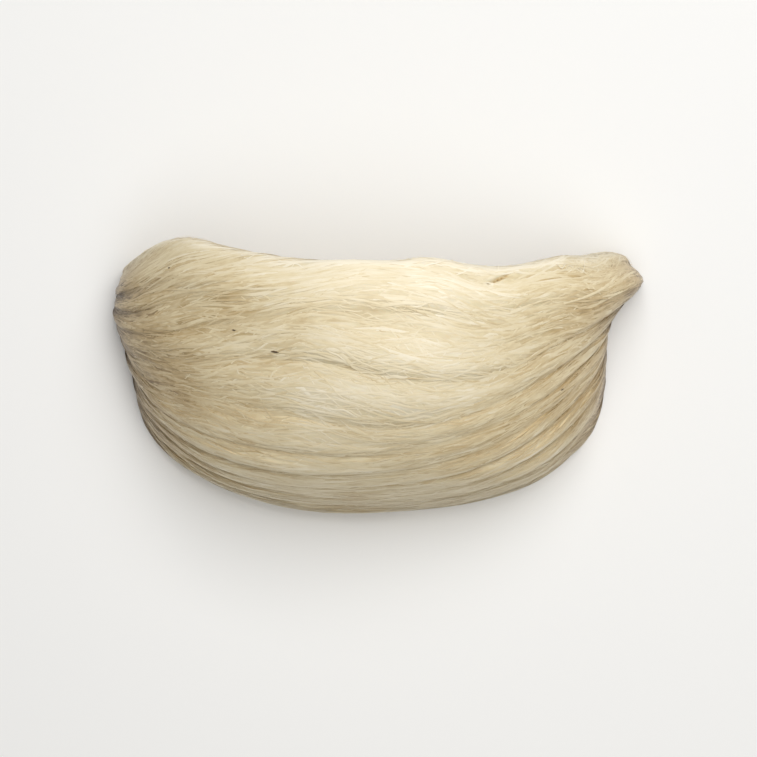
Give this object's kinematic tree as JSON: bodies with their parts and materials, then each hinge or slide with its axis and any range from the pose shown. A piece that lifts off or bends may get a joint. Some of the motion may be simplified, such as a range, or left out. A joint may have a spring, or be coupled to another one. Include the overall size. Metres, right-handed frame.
{
  "type": "edible birds nest",
  "caption": "Half-cup swiftlet nest of dried cream strands laid from foot to foot, with a wavy rim, lying on the flat face where it was cut from the wall.",
  "frame": {"origin": "middle of the nest's box, on the flat face where it was cut from the wall", "axes": "+X along the nest from its left foot to its right foot, +Y towards the open rim, +Z out from the cut face towards the bulging front"},
  "size_m": [0.0924, 0.0474, 0.0383],
  "materials": {
    "dried_strands": "satin"
  },
  "bodies": {
    "root": {"nest": "dried_strands"}
  },
  "joints": []
}
